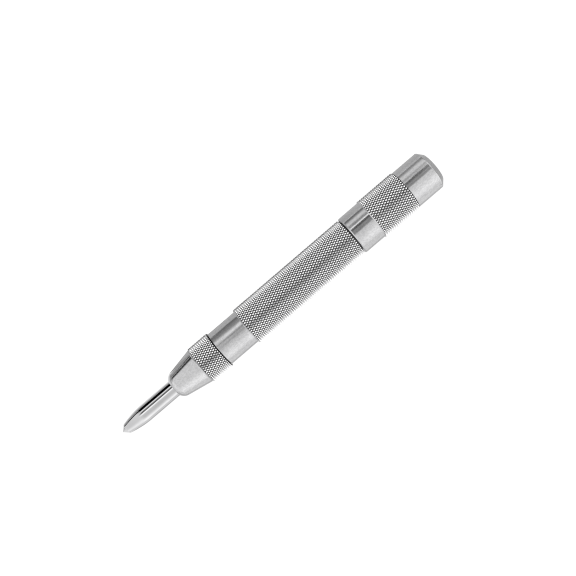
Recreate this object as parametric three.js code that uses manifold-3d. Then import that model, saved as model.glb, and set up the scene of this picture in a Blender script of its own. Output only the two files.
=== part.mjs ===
// Spring-loaded automatic center punch, lying on its side as it does on a bench.
// Millimetres, +Z up. The tool's axis runs along X: the point is at -X, the adjusting cap at +X.
// The origin is under the middle of the tool, on the surface that it lies on.
//
// How it works: pressing the tool on the work pushes punch_point and drive_stem back. The stem's
// thin tail bears on trip_block, beside its hole, so it pushes hammer back against main_spring.
// A taper in the barrel's bore slides the block sideways until its hole meets the tail. The hammer
// is then free to fly forward over the tail and strike the stem's shoulder.

import * as THREE from "three";
import { mergeVertices } from "three/addons/utils/BufferGeometryUtils.js";
import Module from "manifold-3d";

const wasm = await Module();
wasm.setup();

// ---- Driving dimensions. A station is a distance along the axis from the point's tip. ----

const LENGTH = 127;
const SIDES = 36; // flats round each turned piece; the tool lies on one of them
const CURVE_STEPS = 4; // steps of each curved stretch of an outline
const CHAMFER = 0.35;

const POINT = { tip: 1.7, taperEnd: 9.4, r: 2.8, flangeR: 3.9, flange: 2 };
const NOSE = { front: 21.15, faceR: 3.05, seat: 24.5, knurl: 31.85, rear: 39.7, knurlR: 6.55 };
const CONE = { roundAt: 21.65, roundR: 3.91, start: 22.95, startR: 4.45, endR: 6.15 };
const BARREL = { front: 32.5, neckR: 5.55, shoulder: 39.75, r: 5.92, knurl: 50.55, rear: 93.35 };
const BARREL_KNURL_R = 6.63;
const BARREL_KNURL_EDGE = 0.4;
const NECK = { reliefR: 5.1, relief: 1.1, threadR: 5.6, end: 104.9 };
const CAP = { front: 93.85, r: 6.75, knurl: 101.6, knurlEnd: 115.65, knurlR: 7.15, seat: 118 };
const CAP_END = { bevel: 1.6, faceR: 5 };

const STROKE = 8; // travel of the point and the hammer until the trip
const TRIP = 0.64; // sideways travel of the trip block in that stroke
const CHAMBER = { r: 4.5, taper: 51.3, boreR: 3.9 };
const BUSH = { front: 38.2, rear: 45.9, boreR: 2.1 };
const STEM = { front: 21.7, spigotR: 1.45, r: 2, shoulder: 40.4, tailR: 1.2, end: 47.9 };
const HAMMER = { front: 46, rear: 76, r: 3.8, boreR: 1.4, boreEnd: 53.8, pilotR: 2.1, pilot: 3.3 };
const SLOT = { front: 48, rear: 52, halfWidth: 2.05, floor: -2.95 };
const BLOCK = { halfWidth: 2, topR: 3.74, bottom: -2.5, holeR: 1.35, pocketR: 1, pocket: 0.7 };
const SEAT = { front: 115.3, r: 4, flange: 1.9, crown: 0.7, guideR: 2.1, guide: 4 };

const RUNNING = 0.05; // gap between faces that rest on each other
const THREAD_CLEARANCE = 0.1;
const AXIS_HEIGHT = CAP.knurlR * Math.cos(Math.PI / SIDES);

// ---- Materials ----

const metal = (color, roughness) =>
  new THREE.MeshStandardMaterial({ color, roughness, metalness: 1 });
const satinChrome = metal(0xc9cacb, 0.28);
const polishedSteel = metal(0xd6d6d8, 0.1);
const hardenedSteel = metal(0x6f7073, 0.35);
const springSteel = metal(0x8b8d92, 0.3);
const bronze = metal(0xb08a4e, 0.35);

// ---- Shape helpers ----

// A turned piece: the outline is a path of (radius, station), revolved round the X axis.
function turned(outline) {
  const points = outline.getPoints(CURVE_STEPS);
  return new THREE.LatheGeometry(points, SIDES, Math.PI / SIDES).rotateZ(-Math.PI / 2);
}

// A path through [station, radius] pairs. A four-number entry is a quadratic curve: its control
// point, then its end.
function outlineOf(start, ...stretches) {
  const path = new THREE.Path().moveTo(start[1], start[0]);
  for (const s of stretches) {
    if (s.length === 2) path.lineTo(s[1], s[0]);
    else path.quadraticCurveTo(s[1], s[0], s[3], s[2]);
  }
  return path;
}

// The same path, closed on itself for a piece with an open bore.
function ringOf(start, ...stretches) {
  return outlineOf(start, ...stretches, start);
}

function toSolid(geometry) {
  const bare = geometry.clone().deleteAttribute("normal").deleteAttribute("uv");
  const merged = mergeVertices(bare, 1e-4);
  return new wasm.Manifold(
    new wasm.Mesh({
      numProp: 3,
      vertProperties: merged.attributes.position.array,
      triVerts: new Uint32Array(merged.index.array),
    }),
  );
}

function toGeometry(solid) {
  const mesh = solid.getMesh();
  const geometry = new THREE.BufferGeometry();
  geometry.setAttribute("position", new THREE.BufferAttribute(mesh.vertProperties, 3));
  geometry.setIndex(new THREE.BufferAttribute(mesh.triVerts, 1));
  geometry.computeVertexNormals();
  return geometry;
}

// A coil of wire along X, from 0 to length, whose last turns close up towards each other.
class Coil extends THREE.Curve {
  constructor(length, radius, wire, turns, closedTurns) {
    super();
    Object.assign(this, { length, radius, wire, turns, closedTurns });
  }

  getPoint(t, target = new THREE.Vector3()) {
    const { length, radius, wire, turns, closedTurns } = this;
    const turn = t * turns;
    const closedPitch = wire * 1.06;
    const open = turns - 2 * closedTurns;
    const openPitch = (length - wire * 0.5 - 2 * closedTurns * closedPitch) / open;
    const fromStart = Math.min(turn, closedTurns) * closedPitch;
    const between = THREE.MathUtils.clamp(turn - closedTurns, 0, open) * openPitch;
    const atEnd = Math.max(turn - closedTurns - open, 0) * closedPitch;
    const angle = turn * 2 * Math.PI;
    const x = wire * 0.25 + fromStart + between + atEnd;
    return target.set(x, radius * Math.cos(angle), radius * Math.sin(angle));
  }
}

// A compression spring from 0 to length along X, with its ends ground flat.
function spring(length, radius, wire, turns, closedTurns, sides, stepsPerTurn) {
  const section = new THREE.Shape();
  for (let i = 0; i < sides; i++) {
    const a = (i / sides) * 2 * Math.PI;
    const p = [(wire / 2) * Math.cos(a), (wire / 2) * Math.sin(a)];
    i ? section.lineTo(...p) : section.moveTo(...p);
  }
  const geometry = new THREE.ExtrudeGeometry(section, {
    steps: Math.round(turns * stepsPerTurn),
    extrudePath: new Coil(length, radius, wire, turns, closedTurns),
  });
  const position = geometry.getAttribute("position");
  for (let i = 0; i < position.count; i++)
    position.setX(i, THREE.MathUtils.clamp(position.getX(i), 0, length));
  return geometry;
}

// ---- The pieces that show ----

// Hardened point: a 90 degree tip, a slightly bulging taper, and a flange that the nose retains.
function punchPoint() {
  const { tip, taperEnd, r, flangeR, flange } = POINT;
  const front = NOSE.seat + RUNNING;
  const rear = front + flange;
  const socketR = STEM.spigotR + RUNNING;
  const socketEnd = STEM.front - RUNNING;
  return turned(
    outlineOf(
      [0, 0],
      [tip, tip],
      [tip + 3.6, r - 0.35, taperEnd, r],
      [front, r],
      [front, flangeR - CHAMFER],
      [front + CHAMFER, flangeR],
      [rear - CHAMFER, flangeR],
      [rear, flangeR - CHAMFER],
      [rear, socketR],
      [socketEnd, socketR],
      [socketEnd - 0.8, 0],
    ),
  );
}

// Screwed nose: a cone with a rounded front, and a knurled band to turn it by.
function noseCollar() {
  const { front, faceR, seat, knurl, rear, knurlR } = NOSE;
  const boreR = POINT.r + 2 * RUNNING;
  const counterboreR = POINT.flangeR + 0.15;
  const threadR = BARREL.neckR + THREAD_CLEARANCE;
  const shoulder = BARREL.front - 0.2;
  return turned(
    ringOf(
      [front, boreR],
      [front, faceR],
      [CONE.roundAt, CONE.roundR, CONE.start, CONE.startR],
      [knurl, CONE.endR],
      [knurl + 0.3, knurlR],
      [rear - CHAMFER, knurlR],
      [rear, knurlR - CHAMFER],
      [rear, threadR + 0.2],
      [rear - 0.2, threadR],
      [shoulder, threadR],
      [shoulder, counterboreR],
      [seat, counterboreR],
      [seat, boreR],
    ),
  );
}

// Barrel: a smooth front, the long knurled grip, a threaded neck at each end, and the stepped
// and tapered bore in which the hammer runs.
function barrel() {
  const { front, neckR, shoulder, r, knurl, rear } = BARREL;
  const { reliefR, relief, threadR, end } = NECK;
  const taperEnd = CHAMBER.taper + ((CHAMBER.r - CHAMBER.boreR) * STROKE) / TRIP;
  return turned(
    ringOf(
      [front, CHAMBER.r],
      [front, neckR - CHAMFER],
      [front + CHAMFER, neckR],
      [shoulder - 1, neckR],
      [shoulder - 1, reliefR],
      [shoulder, reliefR],
      [shoulder, r - 0.2],
      [shoulder + 0.2, r],
      [knurl, r],
      [knurl, BARREL_KNURL_R - BARREL_KNURL_EDGE],
      [knurl + BARREL_KNURL_EDGE, BARREL_KNURL_R],
      [rear - BARREL_KNURL_EDGE, BARREL_KNURL_R],
      [rear, BARREL_KNURL_R - BARREL_KNURL_EDGE],
      [rear, reliefR],
      [rear + relief, reliefR],
      [rear + relief, threadR],
      [end - CHAMFER, threadR],
      [end, threadR - CHAMFER],
      [end, CHAMBER.boreR],
      [taperEnd, CHAMBER.boreR],
      [CHAMBER.taper, CHAMBER.r],
    ),
  );
}

// Adjusting cap: screws on the barrel's rear neck and carries the main spring's seat.
function adjustingCap() {
  const { front, r, knurl, knurlEnd, knurlR, seat } = CAP;
  const threadR = NECK.threadR + THREAD_CLEARANCE;
  const threadEnd = NECK.end + 0.7;
  const boreR = SEAT.r + 0.2;
  return turned(
    outlineOf(
      [seat, 0],
      [seat, boreR],
      [threadEnd, boreR],
      [threadEnd, threadR],
      [front + 0.2, threadR],
      [front, threadR + 0.2],
      [front, r - CHAMFER],
      [front + CHAMFER, r],
      [knurl, r],
      [knurl + CHAMFER, knurlR],
      [knurlEnd - CHAMFER, knurlR],
      [knurlEnd, r],
      [LENGTH - CAP_END.bevel, r],
      [LENGTH, CAP_END.faceR],
      [LENGTH, 0],
    ),
  );
}

// ---- The pieces inside ----

// Stem pressed into the point. The hammer strikes its shoulder; its tail works the trip block.
function driveStem() {
  const { front, spigotR, r, shoulder, tailR, end } = STEM;
  const seat = NOSE.seat + RUNNING + POINT.flange + RUNNING;
  return turned(
    outlineOf(
      [front, 0],
      [front, spigotR - 0.25],
      [front + 0.25, spigotR],
      [seat, spigotR],
      [seat, r],
      [shoulder - 0.15, r],
      [shoulder, r - 0.15],
      [shoulder, tailR],
      [end - 0.2, tailR],
      [end, tailR - 0.2],
      [end, 0],
    ),
  );
}

// Bush pressed into the barrel: guides the stem, seats the return spring and stops the hammer.
function guideBush() {
  const { front, rear, boreR } = BUSH;
  const r = CHAMBER.r - 0.02;
  return turned(
    ringOf(
      [front, boreR + 0.2],
      [front, r - 0.3],
      [front + 0.3, r],
      [rear - 0.3, r],
      [rear, r - 0.3],
      [rear, boreR + 0.2],
      [rear - 0.2, boreR],
      [front + 0.2, boreR],
    ),
  );
}

// Hammer: a bored slug with a blind cross slot for the trip block and a pilot for the spring.
function hammer() {
  const { front, rear, r, boreR, boreEnd, pilotR, pilot } = HAMMER;
  const slug = turned(
    outlineOf(
      [boreEnd + 0.8, 0],
      [boreEnd, boreR],
      [front + 0.3, boreR],
      [front, boreR + 0.3],
      [front, r - CHAMFER],
      [front + CHAMFER, r],
      [rear - CHAMFER, r],
      [rear, r - CHAMFER],
      [rear, pilotR],
      [rear + pilot - 0.3, pilotR],
      [rear + pilot, pilotR - 0.3],
      [rear + pilot, 0],
    ),
  );
  const top = r + 1;
  const slot = new THREE.BoxGeometry(
    SLOT.rear - SLOT.front,
    2 * SLOT.halfWidth,
    top - SLOT.floor,
  ).translate((SLOT.front + SLOT.rear) / 2, 0, (top + SLOT.floor) / 2);
  return toGeometry(toSolid(slug).subtract(toSolid(slot)));
}

// Trip block, drawn about its hole: round on top, with a pocket below for its spring.
function tripBlock() {
  const { halfWidth, topR, bottom, holeR, pocketR, pocket } = BLOCK;
  const thickness = SLOT.rear - SLOT.front - 2 * RUNNING;
  const corner = Math.asin(halfWidth / topR);
  const face = new THREE.Shape()
    .moveTo(halfWidth, bottom)
    .lineTo(halfWidth, topR * Math.cos(corner))
    .absarc(0, 0, topR, Math.PI / 2 - corner, Math.PI / 2 + corner)
    .lineTo(-halfWidth, bottom);
  face.holes.push(new THREE.Path().absarc(0, 0, holeR, 0, 2 * Math.PI, true));
  const plate = new THREE.ExtrudeGeometry(face, {
    depth: thickness,
    bevelEnabled: false,
    curveSegments: 20,
  })
    .translate(0, 0, -thickness / 2)
    .rotateX(Math.PI / 2)
    .rotateZ(Math.PI / 2);
  const recess = new THREE.CylinderGeometry(pocketR, pocketR, 2 * pocket, 20)
    .rotateX(Math.PI / 2)
    .translate(0, 0, bottom);
  return toGeometry(toSolid(plate).subtract(toSolid(recess)));
}

// Seat of the main spring: stays still with the spring while the cap turns on its crown.
function springSeat() {
  const { front, r, flange, crown, guideR, guide } = SEAT;
  return turned(
    outlineOf(
      [front - guide, 0],
      [front - guide, guideR - 0.3],
      [front - guide + 0.3, guideR],
      [front, guideR],
      [front, r - 0.2],
      [front + 0.2, r],
      [front + flange, r],
      [front + flange + crown, r - 1, front + flange + crown, 1],
      [front + flange + crown, 0],
    ),
  );
}

// ---- Assembly ----

const tool = new THREE.Group();
tool.position.set(-LENGTH / 2, 0, AXIS_HEIGHT);

function add(name, geometry, material, parent = tool) {
  const mesh = new THREE.Mesh(geometry, material);
  mesh.name = name;
  parent.add(mesh);
  return mesh;
}

add("punch_point", punchPoint(), polishedSteel);
add("nose_collar", noseCollar(), satinChrome);
add("barrel", barrel(), satinChrome);
add("adjusting_cap", adjustingCap(), satinChrome);
add("drive_stem", driveStem(), hardenedSteel);
add("guide_bush", guideBush(), bronze);
add("hammer", hammer(), hardenedSteel);
add("spring_seat", springSeat(), hardenedSteel);

const slotMiddle = (SLOT.front + SLOT.rear) / 2;
add("trip_block", tripBlock(), hardenedSteel).position.set(slotMiddle, 0, TRIP);

const flangeRear = NOSE.seat + RUNNING + POINT.flange;
const returnLength = BUSH.front - flangeRear - 2 * RUNNING;
add("return_spring", spring(returnLength, 2.9, 0.55, 6, 1, 6, 12), springSteel).position.x =
  flangeRear + RUNNING;

const mainLength = SEAT.front - HAMMER.rear - 2 * RUNNING;
add("main_spring", spring(mainLength, 2.95, 1.1, 16, 1.5, 6, 12), springSteel).position.x =
  HAMMER.rear + RUNNING;

const pocketTop = TRIP + BLOCK.bottom + BLOCK.pocket;
const tripLength = pocketTop - SLOT.floor - 2 * RUNNING;
const tripSpring = add("trip_spring", spring(tripLength, 0.72, 0.2, 3.5, 0.75, 6, 12), springSteel);
tripSpring.position.set(slotMiddle, 0, SLOT.floor + RUNNING);
tripSpring.rotation.y = -Math.PI / 2;

const centerPunch = new THREE.Group();
centerPunch.add(tool);

export default centerPunch;
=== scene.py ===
import math

import bpy
import numpy as np
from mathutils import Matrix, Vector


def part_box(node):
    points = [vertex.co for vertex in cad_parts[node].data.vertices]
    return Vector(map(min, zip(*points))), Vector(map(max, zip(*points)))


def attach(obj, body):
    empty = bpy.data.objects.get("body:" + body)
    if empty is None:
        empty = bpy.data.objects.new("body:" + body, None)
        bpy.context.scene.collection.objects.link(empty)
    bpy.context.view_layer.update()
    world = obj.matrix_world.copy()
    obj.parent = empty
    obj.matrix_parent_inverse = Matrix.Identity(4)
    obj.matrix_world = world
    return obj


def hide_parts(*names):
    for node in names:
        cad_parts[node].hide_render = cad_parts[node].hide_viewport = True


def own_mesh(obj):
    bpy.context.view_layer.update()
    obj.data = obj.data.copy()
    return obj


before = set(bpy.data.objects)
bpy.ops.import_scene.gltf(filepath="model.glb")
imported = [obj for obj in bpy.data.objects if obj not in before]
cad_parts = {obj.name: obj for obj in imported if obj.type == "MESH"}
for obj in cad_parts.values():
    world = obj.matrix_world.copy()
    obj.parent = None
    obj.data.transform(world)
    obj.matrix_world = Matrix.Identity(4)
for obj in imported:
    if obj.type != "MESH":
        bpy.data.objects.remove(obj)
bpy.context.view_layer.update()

# The tool's axis runs along X. A station is a distance along it from the point's tip. Shapes are
# drawn in millimetres as (station, radius), and the meshes are in metres.
MM = 0.001
TIP_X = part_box("punch_point")[0].x
AXIS_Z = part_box("adjusting_cap")[1].z / 2
CAP_PEAK = AXIS_Z / MM  # radius of the cap's knurl, which sets the height of the tool

# ---- Outlines -------------------------------------------------------------------------------

LEAST_TURN = math.radians(8)  # an outline that turns by less than this isn't rounded there
MOST_REACH = 0.4  # the share of a stretch that one corner's rounding may take up
ON_AXIS = 1e-6  # a radius below this is a point on the axis


def soften(outline, radius, closed, steps=3):
    """Rounds the outline's corners. A corner may carry its own radius as a third number."""
    points = [np.array(p[:2], float) for p in outline]
    radii = [p[2] if len(p) > 2 else radius for p in outline]
    count = len(points)
    made = []
    for i, corner in enumerate(points):
        at_end = not closed and i in (0, count - 1)
        before, after = points[i - 1], points[(i + 1) % count]
        if at_end or radii[i] == 0:
            made.append(corner)
            continue
        to_before, to_after = before - corner, after - corner
        length_before, length_after = np.linalg.norm(to_before), np.linalg.norm(to_after)
        back, on = to_before / length_before, to_after / length_after
        turn = math.pi - math.acos(max(-1.0, min(1.0, float(back @ on))))
        if turn < LEAST_TURN:
            made.append(corner)
            continue
        longest = MOST_REACH * min(length_before, length_after)
        reach = min(radii[i] * math.tan(turn / 2), longest)
        for s in np.linspace(0, 1, steps + 1):
            start, end = corner + back * reach, corner + on * reach
            made.append((1 - s) ** 2 * start + 2 * s * (1 - s) * corner + s**2 * end)
    return made


def curve(start, control, end, steps):
    """Points of a smooth curve that leaves start towards control and reaches end from it."""
    made = []
    for s in np.linspace(0, 1, steps + 1):
        x = (1 - s) ** 2 * start[0] + 2 * s * (1 - s) * control[0] + s**2 * end[0]
        r = (1 - s) ** 2 * start[1] + 2 * s * (1 - s) * control[1] + s**2 * end[1]
        made.append((x, r, 0))
    return made


def support(points, closed, gap=0.06):
    """Adds a point, gap mm from each end of the long stretches, so that flats shade flat."""
    made = []
    count = len(points)
    for i in range(count if closed else count - 1):
        a, b = points[i], points[(i + 1) % count]
        made.append(a)
        length = np.linalg.norm(b - a)
        if length > 5 * gap:
            made.append(a + (b - a) * gap / length)
            made.append(b - (b - a) * gap / length)
    if not closed:
        made.append(points[-1])
    return made


def wave(phase):
    """A triangle wave: 0 at whole numbers and 1 halfway between them."""
    return 1 - np.abs(2 * (phase - np.floor(phase)) - 1)


class Knurl:
    """Crossed grooves that leave blunt pyramids. count is the number of grooves each way, and
    pitch their spacing along X. sides and step are the mesh's sides and the distance between its
    rings."""

    finish = 1  # which of a piece's materials it takes
    depth = 0.34
    blunt = 0.16  # how much the pyramids' tops are rounded off
    cuts = 6  # steps of the mesh across each groove

    def __init__(self, start, end, peak, count, pitch):
        self.start, self.end, self.peak = start, end, peak
        self.count, self.pitch = count, pitch
        self.sides, self.step = self.cuts * count, pitch / self.cuts
        self.inner, self.outer = peak - 0.6, peak + 0.1  # the radii that it covers

    def radius(self, x, angle, limit):
        around = self.count * angle / (2 * math.pi)
        along = x / self.pitch
        height = np.minimum(wave(around + along), wave(around - along))
        rounded = (height - self.blunt * height**3) / (1 - self.blunt)
        return np.minimum(limit, self.peak - self.depth * (1 - rounded))


class Thread:
    """A right-hand screw thread, outside or in a bore. All of them are in step along the tool."""

    finish = 2
    pitch = 1.0
    step = pitch / 8
    cut = 0.125  # how far the wave is stretched past its crests and roots, which flattens them

    def __init__(self, start, end, low, high):
        self.start, self.end = start, end
        self.low, self.high = low, high
        self.inner, self.outer = low - 0.3, high + 0.3

    def radius(self, x, angle, limit):
        height = wave(x / self.pitch + angle / (2 * math.pi))
        share = np.clip((1 + 2 * self.cut) * height - self.cut, 0, 1)
        return np.minimum(limit, self.low + (self.high - self.low) * share)


def rings_of(points, textures, closed):
    """Splits the stretches that a knurl or thread covers. Each ring is (x, r, the texture that
    shapes it, the texture of the stretch after it), with None for no texture."""
    slack = 1e-6
    rings = []
    count = len(points)
    for i in range(count if closed else count - 1):
        a, b = points[i], points[(i + 1) % count]
        low, high = sorted((a[0], b[0]))
        found = None
        for t in textures:
            inside = low >= t.start - slack and high <= t.end + slack
            if inside and t.inner <= min(a[1], b[1]) and max(a[1], b[1]) <= t.outer:
                found = t
        passed = rings[-1][2] if rings and rings[-1][3] else None
        rings.append((a[0], a[1], found or passed, found))
        if found and high - low > found.step:
            first = math.ceil(low / found.step + slack)
            marks = np.arange(first, high / found.step - slack) * found.step
            for x in marks if b[0] > a[0] else marks[::-1]:
                share = (x - a[0]) / (b[0] - a[0])
                rings.append((x, a[1] + (b[1] - a[1]) * share, found, found))
    if not closed:
        rings.append((points[-1][0], points[-1][1], None, None))
    return rings


# ---- Meshes ---------------------------------------------------------------------------------


def mesh_object(name, vertices, faces, sharp=35):
    mesh = bpy.data.meshes.new(name)
    mesh.from_pydata([tuple(v) for v in vertices], [], faces)
    mesh.validate()
    mesh.update()
    mesh.shade_smooth()
    mesh.set_sharp_from_angle(angle=math.radians(sharp))
    piece = bpy.data.objects.new(name, mesh)
    bpy.context.scene.collection.objects.link(piece)
    return piece


def turned(name, outline, sides, metals, textures=(), radius=0.12, closed=True):
    """A piece turned about the tool's axis. A closed outline runs round a bore; an open one
    starts and ends on the axis. metals is its own material, then its knurl's and its thread's."""
    points = support(soften(outline, radius, closed), closed)
    rings = rings_of(points, textures, closed)
    angle = np.arange(sides) / sides * 2 * math.pi
    vertices, starts = [], []
    for x, r, texture, _ in rings:
        starts.append(len(vertices))
        if r < ON_AXIS:
            vertices.append((TIP_X + x * MM, 0, AXIS_Z))
            continue
        radii = texture.radius(x, angle, r) if texture else np.full(sides, r)
        for a, out in zip(angle, radii):
            y, z = out * MM * math.sin(a), AXIS_Z + out * MM * math.cos(a)
            vertices.append((TIP_X + x * MM, y, z))
    faces, finish = [], []
    for i in range(len(rings) if closed else len(rings) - 1):
        a, b = starts[i], starts[(i + 1) % len(rings)]
        a_point, b_point = rings[i][1] < ON_AXIS, rings[(i + 1) % len(rings)][1] < ON_AXIS
        finish += [rings[i][3].finish if rings[i][3] else 0] * sides
        for k in range(sides):
            n = (k + 1) % sides
            if a_point:
                faces.append((a, b + n, b + k))
            elif b_point:
                faces.append((a + k, a + n, b))
            else:
                faces.append((a + k, a + n, b + n, b + k))
    piece = mesh_object(name, vertices, faces)
    for material in metals:
        piece.data.materials.append(material)
    piece.data.polygons.foreach_set("material_index", finish)
    return piece


def coil(name, low, high, axis, centre, radius, wire, turns, closed_turns):
    """A compression spring from low to high along an axis, with its end turns closed and ground."""
    length = (high - low) / MM
    sides, per_turn = 14, 40  # sides of the wire, and steps in each turn
    steps = round(turns * per_turn)
    turn = np.linspace(0, turns, steps + 1)
    closed_pitch = wire * 1.06  # so that the closed turns all but touch
    ground = wire * 0.25  # from the ground end to the middle of the wire there
    open_turns = turns - 2 * closed_turns
    open_pitch = (length - 2 * ground - 2 * closed_turns * closed_pitch) / open_turns
    along = (
        ground
        + np.minimum(turn, closed_turns) * closed_pitch
        + np.clip(turn - closed_turns, 0, open_turns) * open_pitch
        + np.maximum(turn - closed_turns - open_turns, 0) * closed_pitch
    )
    angle = turn * 2 * math.pi
    ring = np.arange(sides) / sides * 2 * math.pi
    vertices = []
    for x, a in zip(along, angle):
        for b in ring:
            out = radius + wire / 2 * math.cos(b)
            up = np.clip(x + wire / 2 * math.sin(b), 0, length)
            vertices.append((up, out * math.cos(a), out * math.sin(a)))
    faces = []
    for i in range(steps):
        for k in range(sides):
            n = (k + 1) % sides
            a = i * sides
            faces.append((a + k, a + n, a + sides + n, a + sides + k))
    last = steps * sides
    faces.append(tuple(range(sides))[::-1])
    faces.append(tuple(last + k for k in range(sides)))
    placed = []
    for up, y, z in vertices:
        if axis == "X":
            placed.append((low + up * MM, centre[0] + y * MM, centre[1] + z * MM))
        else:
            placed.append((centre[0] + y * MM, centre[1] + z * MM, low + up * MM))
    return mesh_object(name, placed, faces, sharp=50)


# ---- Materials ------------------------------------------------------------------------------

CHROME = (0.6, 0.6, 0.605, 1)
# Painted light: a lighter copy of the chrome, brighter than the plain chrome, for the knurls'
# flanks.
FLANK_CHROME_PAINTED_LIGHTER = (0.98, 0.98, 0.985, 1)
# Painted shade, partly grime: the bottoms of the knurls' grooves are darkened to near black.
GRIME_AND_SHADE_COLOR = (0.015, 0.015, 0.015, 1)
GRIME_AND_SHADE_HEIGHTS = (0.09, 0.18)  # heights in mm above a groove's bottom between which the painted shade, partly grime, fades out
GROOVE_ROUGHNESS = 0.3  # more than the bare metal's
PLAIN_TOP_DEPTH = 0.05  # depth in mm below the peaks down to which they keep the plain chrome


class Nodes:
    """Builds a material's nodes with short calls."""

    def __init__(self, name):
        self.material = bpy.data.materials.new(name)
        self.material.use_nodes = True
        self.tree = self.material.node_tree
        self.shader = self.tree.nodes["Principled BSDF"]

    def add(self, kind, inputs=None, **settings):
        made = self.tree.nodes.new("ShaderNode" + kind)
        for key, value in settings.items():
            setattr(made, key, value)
        for key, value in (inputs or {}).items():
            if isinstance(value, bpy.types.NodeSocket):
                self.tree.links.new(value, made.inputs[key])
            else:
                made.inputs[key].default_value = value
        return made

    def math(self, operation, a, b):
        return self.add("Math", {0: a, 1: b}, operation=operation).outputs[0]

    def scaled(self, vector, scale):
        inputs = {0: vector, 1: scale}
        return self.add("VectorMath", inputs, operation="MULTIPLY").outputs[0]

    def noise(self, vector, scale, detail):
        inputs = {"Vector": self.scaled(vector, scale), "Scale": 1.0, "Detail": detail}
        return self.add("TexNoise", inputs).outputs["Fac"]

    def ramp(self, value, low, high, out_low, out_high):
        inputs = {0: value, 1: low, 2: high, 3: out_low, 4: out_high}
        return self.add("MapRange", inputs, clamp=True).outputs[0]

    def mix(self, share, a, b):
        return self.add("Mix", {0: share, 6: a, 7: b}, data_type="RGBA").outputs[2]

    def link(self, value, socket):
        self.tree.links.new(value, self.shader.inputs[socket])


def metal(name, color, roughness, marks, smudges, knurl=None, tint=0.06, mottle=0.0):
    """Turned metal: fine rings left by the tool, of depth marks in metres, faint smudges and
    mottled plating. In a knurl the grooves get painted shade, partly real grime, the flanks take
    a painted lighter copy of the colour, and the tops keep the plain chrome."""
    middle = (0.3, 0.7)  # the part of a noise's range that most of its values lie in
    n = Nodes(name)
    place = n.add("TexCoord").outputs["Object"]
    rings = n.noise(place, (9000, 60, 60), 3)
    grain = n.noise(place, (4000, 4000, 4000), 2)
    cloud = n.noise(place, (160, 220, 220), 4)
    height = n.math("ADD", rings, n.math("MULTIPLY", grain, 0.35))
    bump = n.add("Bump", {"Strength": 1.0, "Distance": marks, "Height": height})
    n.link(bump.outputs[0], "Normal")
    dark = tuple(c * (1 - tint) for c in color[:3]) + (1,)
    light = tuple(min(1, c * (1 + tint)) for c in color[:3]) + (1,)
    shade = n.mix(n.ramp(cloud, *middle, 0, 1), dark, light)
    if mottle:
        spots = n.noise(place, (1400, 2400, 2400), 4)
        level = n.ramp(spots, 0.35, 0.65, 1 - mottle, 1 + mottle)
        grey = n.add("CombineXYZ", {0: level, 1: level, 2: level}).outputs[0]
        shade = n.scaled(shade, grey)
    rough = n.ramp(cloud, *middle, roughness - smudges, roughness + smudges)
    streaks = n.ramp(rings, *middle, -0.5 * smudges, 0.5 * smudges)
    rough = n.math("ADD", rough, streaks)
    if knurl:
        centred = n.add("VectorMath", {0: place, 1: (0, 0, AXIS_Z)}, operation="SUBTRACT")
        flat = n.scaled(centred.outputs[0], (0, 1, 1))
        radius = n.add("VectorMath", {0: flat}, operation="LENGTH").outputs["Value"]
        root = (knurl.peak - knurl.depth) * MM
        # Painted shade, partly grime, darkens the bottoms of the grooves.
        clear_of_groove_shade = n.ramp(radius, root + GRIME_AND_SHADE_HEIGHTS[0] * MM, root + GRIME_AND_SHADE_HEIGHTS[1] * MM, 0, 1)
        shade = n.mix(clear_of_groove_shade, GRIME_AND_SHADE_COLOR, shade)
        # The knurls' tops keep the plain chrome, under the flanks' painted lighter colour.
        top = n.ramp(radius, (knurl.peak - PLAIN_TOP_DEPTH) * MM, knurl.peak * MM, 0, 1)
        shade = n.mix(top, shade, CHROME)
        rough = n.math("ADD", rough, n.ramp(clear_of_groove_shade, 0, 1, GROOVE_ROUGHNESS, 0))
    n.link(shade, "Base Color")
    n.link(rough, "Roughness")
    n.shader.inputs["Metallic"].default_value = 1.0
    return n.material


def paint(piece, material):
    piece.data.materials.clear()
    piece.data.materials.append(material)


# The stations and radii of the knurls, threads and outlines follow the CAD model's.
NOSE_KNURL = Knurl(32.2, 39.7, 6.55, 50, 1.486)
BARREL_KNURL = Knurl(50.9, 93.4, 6.63, 50, 1.465)
CAP_KNURL = Knurl(101.9, 115.8, CAP_PEAK, 52, 1.537)

chrome = metal("satin_chrome", CHROME, 0.16, 1e-6, 0.03, mottle=0.09)
nose_grip = metal("nose_knurl", FLANK_CHROME_PAINTED_LIGHTER, 0.2, 6e-7, 0.03, NOSE_KNURL)
barrel_grip = metal("barrel_knurl", FLANK_CHROME_PAINTED_LIGHTER, 0.2, 6e-7, 0.03, BARREL_KNURL)
cap_grip = metal("cap_knurl", FLANK_CHROME_PAINTED_LIGHTER, 0.2, 6e-7, 0.03, CAP_KNURL)
polished = metal("polished_steel", (0.64, 0.64, 0.645, 1), 0.055, 2e-7, 0.015)
# Painted shade: the threads and the gaps at the joints take a near-black colour in place of their
# shadow.
thread_shade = metal("thread_painted_shade", (0.1, 0.1, 0.1, 1), 0.4, 2e-6, 0.05)
hardened = metal("hardened_steel", (0.3, 0.29, 0.28, 1), 0.33, 2e-6, 0.06)
wire_steel = metal("spring_steel", (0.46, 0.46, 0.48, 1), 0.28, 1e-6, 0.05)
bronze = metal("bearing_bronze", (0.62, 0.42, 0.2, 1), 0.3, 2e-6, 0.05)


# ---- The pieces that show -------------------------------------------------------------------

FRONT_THREAD = Thread(32.5, 39.75, 5.05, 5.55)
REAR_THREAD = Thread(93.4, 104.95, 5.1, 5.6)
NOSE_THREAD = Thread(32.3, 39.5, 5.15, 5.65)
CAP_THREAD = Thread(94.05, 105.6, 5.2, 5.7)

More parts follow.
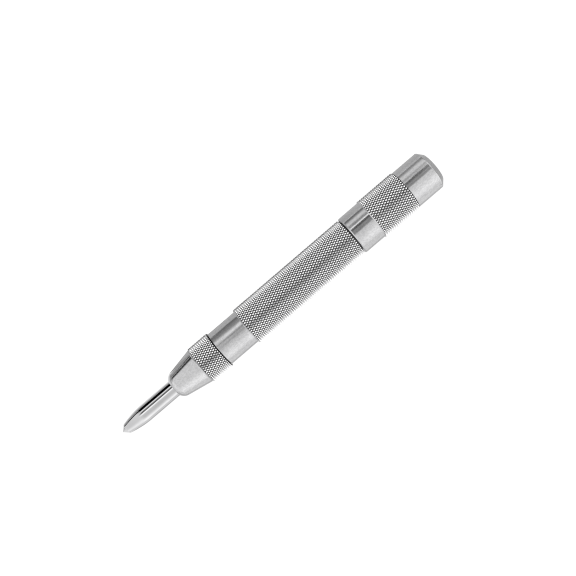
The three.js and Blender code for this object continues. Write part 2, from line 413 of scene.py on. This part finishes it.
nose = turned(
    "nose_collar_turned",
    [
        (21.15, 2.9, 0.1),
        *curve((21.15, 3.05), (22.0, 4.2), (22.95, 4.45), 12),
        (31.85, 6.15),
        (32.25, 6.55, 0.05),
        (39.35, 6.55, 0.05),
        (39.7, 6.2),
        (39.7, 5.85, 0.05),
        (39.5, 5.65, 0),
        (32.3, 5.65, 0),
        (32.3, 4.05),
        (24.5, 4.05),
        (24.5, 2.9, 0.1),
    ],
    NOSE_KNURL.sides,
    [chrome, nose_grip, thread_shade],
    [NOSE_KNURL, NOSE_THREAD],
)
barrel = turned(
    "barrel_turned",
    [
        (32.5, 4.5),
        (32.5, 5.2),
        (32.85, 5.55, 0),
        (38.75, 5.55, 0),
        (38.75, 5.1),
        (39.75, 5.1),
        (39.75, 5.72),
        (39.95, 5.92),
        (50.55, 5.92, 0.05),
        (50.55, 6.23, 0.05),
        (50.95, 6.63, 0.05),
        (93.15, 6.63, 0.05),
        (93.4, 6.38, 0.05),
        (93.4, 5.1, 0),
        (94.45, 5.1),
        (94.45, 5.6, 0),
        (104.55, 5.6, 0),
        (104.9, 5.25),
        (104.9, 3.9),
        (58.8, 3.9, 0),
        (51.3, 4.5, 0),
    ],
    BARREL_KNURL.sides,
    [chrome, barrel_grip, thread_shade],
    [BARREL_KNURL, FRONT_THREAD, REAR_THREAD],
)
cap = turned(
    "adjusting_cap_turned",
    [
        (118.0, 0.0),
        (118.0, 4.2),
        (105.6, 4.2),
        (105.6, 5.7),
        (94.05, 5.7, 0),
        (93.85, 5.9, 0.05),
        (93.85, 6.45, 0.05),
        (94.15, 6.75, 0.05),
        (101.6, 6.75, 0.05),
        (101.95, CAP_PEAK, 0.05),
        (115.45, CAP_PEAK, 0.05),
        (115.8, 6.75, 0.05),
        (125.4, 6.75, 0.2),
        (127.0, 5.0, 0.2),
        (127.0, 0.0),
    ],
    CAP_KNURL.sides,
    [chrome, cap_grip, thread_shade],
    [CAP_KNURL, CAP_THREAD],
    closed=False,
)
point = turned(
    "punch_point_turned",
    [
        (0.0, 0.0),
        (0.0, 0.06, 0),
        *curve((1.7, 1.7), (5.9, 2.8), (9.4, 2.8), 28),
        (24.55, 2.8),
        (24.55, 3.6),
        (24.9, 3.9),
        (26.2, 3.9),
        (26.55, 3.55),
        (26.55, 1.5),
        (21.65, 1.5),
        (20.85, 0.0),
    ],
    144,
    [polished],
    closed=False,
)

# ---- The pieces inside ----------------------------------------------------------------------

stem = turned(
    "drive_stem_turned",
    [
        (21.7, 0.0),
        (21.7, 1.2, 0.05),
        (21.95, 1.45, 0.05),
        (26.6, 1.45, 0.05),
        (26.6, 2.0),
        (40.25, 2.0, 0.05),
        (40.4, 1.85, 0.05),
        (40.4, 1.2, 0.05),
        (47.7, 1.2, 0.05),
        (47.9, 1.0, 0.05),
        (47.9, 0.0),
    ],
    96,
    [hardened],
    closed=False,
)
bush = turned(
    "guide_bush_turned",
    [
        (38.2, 2.3, 0.05),
        (38.2, 4.18),
        (38.5, 4.48),
        (45.6, 4.48),
        (45.9, 4.18),
        (45.9, 2.3, 0.05),
        (45.7, 2.1, 0.05),
        (38.4, 2.1, 0.05),
    ],
    144,
    [bronze],
)
seat = turned(
    "spring_seat_turned",
    [
        (111.3, 0.0),
        (111.3, 1.8),
        (111.6, 2.1),
        (115.3, 2.1),
        (115.3, 3.8),
        (115.5, 4.0),
        (117.2, 4.0, 0.05),
        (117.59, 3.23, 0),
        (117.82, 2.21, 0),
        (117.9, 1.0, 0),
        (117.9, 0.0),
    ],
    144,
    [hardened],
    closed=False,
)


def spring_for(node, axis, radius, wire, turns, closed_turns):
    """A coil in the place of a CAD spring, with its length taken from that spring's box."""
    low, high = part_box(node)
    if axis == "X":
        span, centre = (low.x, high.x), (0, AXIS_Z)
    else:
        span, centre = (low.z, high.z), ((low.x + high.x) / 2, 0)
    made = coil(node + "_coil", *span, axis, centre, radius, wire, turns, closed_turns)
    made.data.materials.append(wire_steel)
    return made


return_spring = spring_for("return_spring", "X", 2.9, 0.55, 6, 1)
main_spring = spring_for("main_spring", "X", 2.95, 1.1, 16, 1.5)
trip_spring = spring_for("trip_spring", "Z", 0.72, 0.2, 3.5, 0.75)

for piece, node, body, slot in (
    (nose, "nose_collar", "barrel", "satin_chrome"),
    (barrel, "barrel", "barrel", "satin_chrome"),
    (cap, "adjusting_cap", "cap", "satin_chrome"),
    (point, "punch_point", "point", "polished_steel"),
    (stem, "drive_stem", "point", "hardened_steel"),
    (bush, "guide_bush", "barrel", "bronze"),
    (seat, "spring_seat", "seat", "hardened_steel"),
    (return_spring, "return_spring", "barrel", "spring_steel"),
    (main_spring, "main_spring", "seat", "spring_steel"),
    (trip_spring, "trip_spring", "hammer", "spring_steel"),
):
    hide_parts(node)
    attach(piece, body)

for node in ("hammer", "trip_block"):
    paint(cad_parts[node], hardened)

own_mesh(return_spring)
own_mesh(main_spring)
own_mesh(trip_spring)

# ---- Floor, light and camera ----------------------------------------------------------------


def emission_plane(name, x0, x1, y0, y1, z, level, far=None):
    """A level plane that gives off a soft light of its own. far is the span of its edge at y1,
    where that isn't x0 to x1."""
    far_x0, far_x1 = far or (x0, x1)
    corners = [(x0, y0, z), (x1, y0, z), (far_x1, y1, z), (far_x0, y1, z)]
    plane = mesh_object(name, corners, [(0, 1, 2, 3)])
    material = bpy.data.materials.new(name)
    paint(plane, material)
    material.use_nodes = True
    shader = material.node_tree.nodes["Principled BSDF"]
    shader.inputs["Base Color"].default_value = (0, 0, 0, 1)
    shader.inputs["Roughness"].default_value = 1.0
    shader.inputs["Specular IOR Level"].default_value = 0.0
    shader.inputs["Emission Color"].default_value = (level, level, level, 1)
    shader.inputs["Emission Strength"].default_value = 1.0
    return plane, shader


# A pale floor, lit evenly enough to leave hardly any shadow.
floor, floor_shader = emission_plane("floor", -3, 3, -3, 3, 0, 0.94)
floor_shader.inputs["Base Color"].default_value = (0.12, 0.12, 0.12, 1)

# Cards on the floor round the tool, from black to pale grey, which only its reflections show.
# card_behind, card_by_nose and card_under_back are painted shade: dimmer and dark, they stand in
# for the tool's shadow on the floor beside and under it.
for name, x0, x1, y0, y1, z, level, *far in (
    ("card_behind", -0.04, 0.065, 0.0, 0.25, 0.0004, 0.6),
    ("card_by_nose", -0.25, -0.04, 0.0, 0.25, 0.0004, 0.46),
    ("card_by_point", -0.08, -0.042, 0.0, 0.014, 0.0008, 0.92),
    ("card_before_tip", -0.3, -0.085, 0.0, 0.03, 0.0009, 0.9),
    ("card_before", -0.3, 0.3, -0.4, -0.015, 0.0003, 0.94),
    ("card_behind_cap", 0.065, 0.3, 0.05, 0.25, 0.0004, 0.66),
    ("card_beyond_cap", 0.065, 0.1, -0.025, 0.05, 0.0004, 0.57),
    ("card_far_beyond_cap", 0.1, 0.3, -0.06, 0.05, 0.0004, 0.57),
    ("card_under_back", -0.042, 0.065, 0.0, 0.0088, 0.0006, 0.2),
    ("card_under_front", -0.065, 0.065, -0.015, 0.0, 0.0006, 0.66),
    ("card_past_barrel", -0.04, -0.01, 0.09, 3.0, 0.0005, 0.2, -0.36, -0.08),
    ("card_past_point", -0.078, -0.045, 0.06, 3.0, 0.0007, 0.0, -0.72, -0.42),
):
    card, _ = emission_plane(name, x0, x1, y0, y1, z, level, far)
    card.visible_camera = False
    card.visible_diffuse = False
    card.visible_shadow = False

# The light all round, in bands along the tool: (degrees from overhead towards -Y, brightness).
# OVER_POINT and TOWARD_CAP are whole. The others go on with a bright side.
BRIGHT_SIDE = (
    (6, 0.74),
    (12, 0.8),
    (18, 0.9),
    (27, 0.965),
    (37, 1.03),
    (49, 1.155),
    (63, 1.24),
    (78, 1.155),
    (94, 1.0),
    (180, 0.93),
)
OVER_BARREL = (
    (-180, 0.6),
    (-100, 0.6),
    (-97, 0.2),
    (-84, 0.24),
    (-74, 0.33),
    (-58, 0.42),
    (-51, 0.68),
    (-43, 1.2),
    (-36, 1.14),
    (-29, 0.82),
    (-25, 0.42),
    (-19, 0.43),
    (-13, 0.53),
    (-2, 0.48),
    (2, 0.56),
)
OVER_CAP = (
    (-180, 0.6),
    (-99, 0.6),
    (-94, 0.17),
    (-78, 0.2),
    (-67, 0.9),
    (-55, 0.95),
    (-49, 0.25),
    (-38, 0.2),
    (-34, 1.9),
    (-31, 1.9),
    (-29.5, 0.0),
    (-20, 0.04),
    (-15, 0.34),
    (-3, 0.26),
    (3, 0.2),
    (6, 0.84),
)
OVER_TAIL = (
    (-180, 0.6),
    (-97, 0.6),
    (-90, 0.3),
    (-78, 0.4),
    (-67, 0.85),
    (-55, 0.95),
    (-50, 0.8),
    (-45, 0.5),
    (-34, 0.6),
    (-31, 0.5),
    (-28, 0.1),
    (-20, 0.16),
    (-12, 0.42),
    (-5, 0.3),
    (0, 0.3),
    (3, 0.95),
)
OVER_POINT = (
    (-180, 0.6),
    (-104, 0.6),
    (-103, 0.0),
    (-60, 0.0),
    (-57, 0.9),
    (-47, 1.25),
    (-44, 0.4),
    (-35, 0.3),
    (-30, 0.1),
    (-23, 0.1),
    (-20, 1.4),
    (-10, 1.4),
    (-2, 0.85),
    (8, 0.78),
    (28, 0.76),
    (40, 0.85),
    (54, 1.05),
    (66, 1.35),
    (84, 1.4),
    (91, 1.1),
    (180, 0.95),
)
OVER_NOSE = (
    (-180, 0.46),
    (-99, 0.46),
    (-97, 0.0),
    (-75, 0.0),
    (-70, 0.95),
    (-30, 0.93),
    (0, 0.93),
)
NOSE_BRIGHT_SIDE = tuple((degrees, 1.05 * level) for degrees, level in BRIGHT_SIDE[2:])

TOWARD_CAP = (
    (-180, 0.3),
    (-95, 0.3),
    (-88, 0.1),
    (-72, 0.1),
    (-58, 0.9),
    (-46, 1.8),
    (-30, 1.9),
    (-18, 1.6),
    (0, 1.3),
    (32, 1.3),
    (60, 1.5),
    (80, 1.3),
    (180, 0.9),
)

# The plain light from the two ends, over SKY_STRENGTH like the bands.
BEYOND_CAP = (0.25, 0.25, 0.25, 1)
BEYOND_POINT = (0.55, 0.55, 0.55, 1)
SKY_STRENGTH = 2.0

world = bpy.data.worlds.new("studio")
bpy.context.scene.world = world
world.use_nodes = True
sky = world.node_tree
sky.nodes.clear()


def sky_node(kind, inputs=None, **settings):
    made = sky.nodes.new("ShaderNode" + kind)
    for key, value in settings.items():
        setattr(made, key, value)
    for key, value in (inputs or {}).items():
        if isinstance(value, bpy.types.NodeSocket):
            sky.links.new(value, made.inputs[key])
        else:
            made.inputs[key].default_value = value
    return made


def band_ramp(bands):
    """The brightness of a set of bands, over SKY_STRENGTH because a ramp holds at most 1."""
    ramp = sky_node("ValToRGB", {0: turn_round_x})
    stops = ramp.color_ramp.elements
    stops.remove(stops[1])
    stops[0].position = 0
    for degrees, brightness in bands:
        position = (degrees + 180) / 360
        stop = stops.new(position) if position else stops[0]
        grey = brightness / SKY_STRENGTH
        stop.color = (grey, grey, grey, 1)
    return ramp.outputs[0]


def sky_mix(start, end, a, b):
    """a up to start and b from end on, by the X of the direction that is looked in."""
    share = sky_node("MapRange", {0: along_x, 1: start, 2: end}).outputs[0]
    return sky_node("Mix", {0: share, 6: a, 7: b}, data_type="RGBA").outputs[2]


direction = sky_node("TexCoord").outputs["Generated"]
split = sky_node("SeparateXYZ", {0: direction})
along_x = split.outputs["X"]
toward = sky_node("Math", {0: split.outputs["Y"], 1: -1.0}, operation="MULTIPLY").outputs[0]
round_x = sky_node("Math", {0: toward, 1: split.outputs["Z"]}, operation="ARCTAN2").outputs[0]
turn_round_x = sky_node("MapRange", {0: round_x, 1: -math.pi, 2: math.pi}).outputs[0]

# Seen from above, a level cylinder mirrors directions whose X is about 0 at the tool's middle and
# grows by 0.1 for each 30 mm towards the cap, so each part can have bands of its own. The cone and
# the flanks of the knurls turn theirs further towards the two ends.
sky_level = band_ramp(OVER_BARREL + BRIGHT_SIDE)
sky_level = sky_mix(-0.01, 0.07, sky_level, band_ramp(OVER_CAP + BRIGHT_SIDE[2:]))
sky_level = sky_mix(0.12, 0.16, sky_level, band_ramp(OVER_TAIL + BRIGHT_SIDE[2:]))
sky_level = sky_mix(-0.12, -0.145, sky_level, band_ramp(OVER_POINT))
sky_level = sky_mix(-0.25, -0.36, sky_level, band_ramp(OVER_NOSE + NOSE_BRIGHT_SIDE))
sky_level = sky_mix(0.24, 0.34, sky_level, band_ramp(TOWARD_CAP))
sky_level = sky_mix(0.7, 0.95, sky_level, BEYOND_CAP)
sky_level = sky_mix(-0.6, -0.9, sky_level, BEYOND_POINT)
lit = sky_node("Background", {"Color": sky_level, "Strength": SKY_STRENGTH}).outputs[0]
# Behind the tool the camera sees plain white, and only reflections and the floor get the bands.
seen = sky_node("Background", {"Color": (1, 1, 1, 1)}).outputs[0]
camera_ray = sky_node("LightPath").outputs["Is Camera Ray"]
shown = sky_node("MixShader", {0: camera_ray, 1: lit, 2: seen}).outputs[0]
sky_node("OutputWorld", {"Surface": shown})

# The camera looks straight down, rolled so that the tool slants across the picture.
CAMERA_HEIGHT = 0.29  # above the tool's axis
CAMERA_STATION = 0.06826  # along the tool from the point's tip
CAMERA_Y = 0.0007
ROLL = math.radians(40.56)
VIEW_ANGLE = math.radians(34.4)
lens = bpy.data.cameras.new("camera")
lens.sensor_width = 36
lens.lens = lens.sensor_width / 2 / math.tan(VIEW_ANGLE / 2)
camera = bpy.data.objects.new("camera", lens)
camera.location = (TIP_X + CAMERA_STATION, CAMERA_Y, AXIS_Z + CAMERA_HEIGHT)
camera.rotation_euler = (0, 0, -ROLL)
bpy.context.scene.collection.objects.link(camera)
bpy.context.scene.camera = camera
bpy.context.scene.view_settings.view_transform = "Standard"
bpy.context.scene.cycles.use_denoising = False
bpy.context.scene.cycles.filter_width = 1.1
